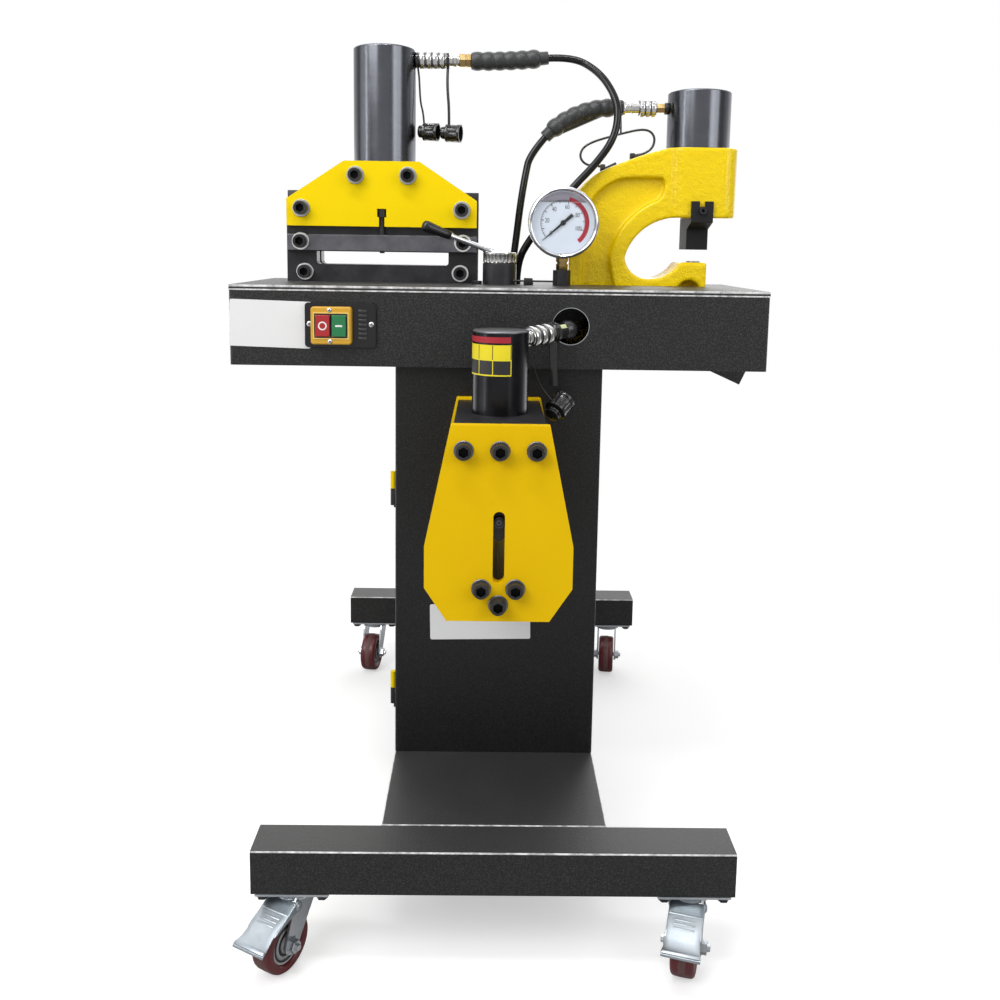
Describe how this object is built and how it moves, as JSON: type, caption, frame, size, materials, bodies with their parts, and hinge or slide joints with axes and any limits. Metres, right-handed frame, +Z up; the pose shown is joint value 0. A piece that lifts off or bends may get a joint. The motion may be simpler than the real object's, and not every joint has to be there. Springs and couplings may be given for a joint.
{
  "type": "busbar processing machine",
  "caption": "Wheeled hydraulic bench for copper busbar: slot cutter and C-frame punch on a table, bender on the column, gauge, lever valve and hoses.",
  "frame": {"origin": "on the floor below the centre of the machine's box, hoses and their fittings left aside", "axes": "+X to the operator's right, +Y from the operator towards the back, +Z up"},
  "size_m": [0.7582, 1.0232, 1.1934],
  "materials": {
    "black_paint": "fine texture powder coat",
    "black_plastic": "matte",
    "black_rubber": "satin",
    "black_steel": "black oxide",
    "chrome": "polished",
    "clear_glass": "clear",
    "green_plastic": "gloss",
    "grey_steel": "ground steel",
    "motor_grey": "cast",
    "red_plastic": "gloss",
    "wheel_red": "satin polyurethane",
    "yellow_paint": "gloss paint",
    "yellow_plastic": "gloss",
    "zinc_steel": "bright zinc"
  },
  "bodies": {
    "machine": {"base_beams": "black_paint", "base_spine": "black_paint", "caster_plates": "zinc_steel", "column": "black_paint", "door_hinges": "black_steel", "oil_tank": "black_paint", "motor": "motor_grey", "table": "black_paint", "switch_plate": "black_plastic", "switch_bezel": "yellow_plastic", "slug_chute": "black_paint", "cutter_body": "black_steel", "cutter_head_plates": "yellow_paint", "cutter_hold_bar": "grey_steel", "cutter_hold_screw": "black_steel", "cutter_bed_blade": "grey_steel", "cutter_cylinder": "black_steel", "punch_frame": "yellow_paint", "punch_die": "grey_steel", "punch_cylinder": "black_steel", "punch_stripper": "black_steel", "bender_front_plate": "yellow_paint", "bender_rear_plate": "yellow_paint", "bender_head_block": "black_steel", "bender_die": "black_steel", "bender_cylinder": "black_steel", "gauge_case": "chrome", "gauge_lens": "clear_glass", "gauge_nut": "black_steel", "valve_body": "black_steel", "socket_screws": "black_steel", "hex_bolts": "black_steel", "coupler_cutter": "zinc_steel", "coupler_punch": "zinc_steel", "coupler_bender": "zinc_steel", "guard_cutter": "black_rubber", "guard_punch": "black_rubber", "hose_cutter": "black_rubber", "hose_punch": "black_rubber", "hose_bender": "black_rubber", "dust_caps": "black_rubber"},
    "door": {"column_door": "yellow_paint"},
    "latch": {"door_latch": "black_plastic"},
    "stop": {"stop_button": "red_plastic"},
    "start": {"start_button": "green_plastic"},
    "blade": {"cutter_blade": "grey_steel"},
    "punch": {"punch_ram": "grey_steel"},
    "bend_ram": {"bender_ram": "grey_steel"},
    "pointer": {"gauge_pointer": "black_plastic"},
    "lever": {"valve_lever": "chrome"},
    "swivel_front_left": {"fork_front_left": "zinc_steel"},
    "roller_front_left": {"wheel_front_left": "wheel_red"},
    "brake_front_left": {"pedal_front_left": "zinc_steel"},
    "swivel_front_right": {"fork_front_right": "zinc_steel"},
    "roller_front_right": {"wheel_front_right": "wheel_red"},
    "brake_front_right": {"pedal_front_right": "zinc_steel"},
    "swivel_rear_left": {"fork_rear_left": "zinc_steel"},
    "roller_rear_left": {"wheel_rear_left": "wheel_red"},
    "swivel_rear_right": {"fork_rear_right": "zinc_steel"},
    "roller_rear_right": {"wheel_rear_right": "wheel_red"}
  },
  "joints": [
    {"name": "door_swing", "type": "hinge", "parent": "machine", "child": "door", "pos_m": [-0.15856, -0.1824, 0.42], "axis": [0, 0, 1], "range_deg": [0, 110]},
    {"name": "latch_turn", "type": "hinge", "parent": "door", "child": "latch", "pos_m": [-0.15405, -0.0084, 0.42], "axis": [1, 0, 0], "range_deg": [0, 90]},
    {"name": "stop_press", "type": "slide", "parent": "machine", "child": "stop", "axis": [0, 1, 0], "range_m": [0, 0.004], "stiffness_N_per_m": 600},
    {"name": "start_press", "type": "slide", "parent": "machine", "child": "start", "axis": [0, 1, 0], "range_m": [0, 0.004], "stiffness_N_per_m": 600},
    {"name": "cutter_stroke", "type": "slide", "parent": "machine", "child": "blade", "axis": [0, 0, -1], "range_m": [0, 0.022], "stiffness_N_per_m": 1000, "springref_m": -0.04},
    {"name": "punch_stroke", "type": "slide", "parent": "machine", "child": "punch", "axis": [0, 0, -1], "range_m": [0, 0.027], "stiffness_N_per_m": 800, "springref_m": -0.035},
    {"name": "bender_stroke", "type": "slide", "parent": "machine", "child": "bend_ram", "axis": [0, 0, -1], "range_m": [0, 0.052], "stiffness_N_per_m": 1500, "springref_m": -0.05},
    {"name": "gauge_reading", "type": "hinge", "parent": "machine", "child": "pointer", "pos_m": [0.08295, -0.0974, 0.933], "axis": [0, 1, 0], "range_deg": [0, 250], "stiffness_Nm_per_rad": 0.001},
    {"name": "valve_turn", "type": "hinge", "parent": "machine", "child": "lever", "pos_m": [-0.00906, -0.0674, 0.889], "axis": [0, 0, 1], "range_deg": [0, 90]},
    {"name": "swivel_front_left", "type": "hinge", "parent": "machine", "child": "swivel_front_left", "pos_m": [-0.25905, -0.4224, 0.0967], "axis": [0, 0, 1], "continuous": true},
    {"name": "roll_front_left", "type": "hinge", "parent": "swivel_front_left", "child": "roller_front_left", "pos_m": [-0.27405, -0.44838, 0.0375], "axis": [0.866, -0.5, 0], "continuous": true},
    {"name": "brake_front_left", "type": "hinge", "parent": "swivel_front_left", "child": "brake_front_left", "pos_m": [-0.26905, -0.43972, 0.083], "axis": [0.866, -0.5, 0], "range_deg": [0, 8]},
    {"name": "swivel_front_right", "type": "hinge", "parent": "machine", "child": "swivel_front_right", "pos_m": [0.24094, -0.4224, 0.0967], "axis": [0, 0, 1], "continuous": true},
    {"name": "roll_front_right", "type": "hinge", "parent": "swivel_front_right", "child": "roller_front_right", "pos_m": [0.23167, -0.45093, 0.0375], "axis": [0.9511, -0.309, 0], "continuous": true},
    {"name": "brake_front_right", "type": "hinge", "parent": "swivel_front_right", "child": "brake_front_right", "pos_m": [0.23477, -0.44142, 0.083], "axis": [0.9511, -0.309, 0], "range_deg": [0, 8]},
    {"name": "swivel_rear_left", "type": "hinge", "parent": "machine", "child": "swivel_rear_left", "pos_m": [-0.25905, 0.4816, 0.0967], "axis": [0, 0, 1], "continuous": true},
    {"name": "roll_rear_left", "type": "hinge", "parent": "swivel_rear_left", "child": "roller_rear_left", "pos_m": [-0.26426, 0.45206, 0.0375], "axis": [0.9848, -0.1736, 0], "continuous": true},
    {"name": "swivel_rear_right", "type": "hinge", "parent": "machine", "child": "swivel_rear_right", "pos_m": [0.24094, 0.4816, 0.0967], "axis": [0, 0, 1], "continuous": true},
    {"name": "roll_rear_right", "type": "hinge", "parent": "swivel_rear_right", "child": "roller_rear_right", "pos_m": [0.23677, 0.4519, 0.0375], "axis": [0.9903, -0.1392, 0], "continuous": true}
  ]
}
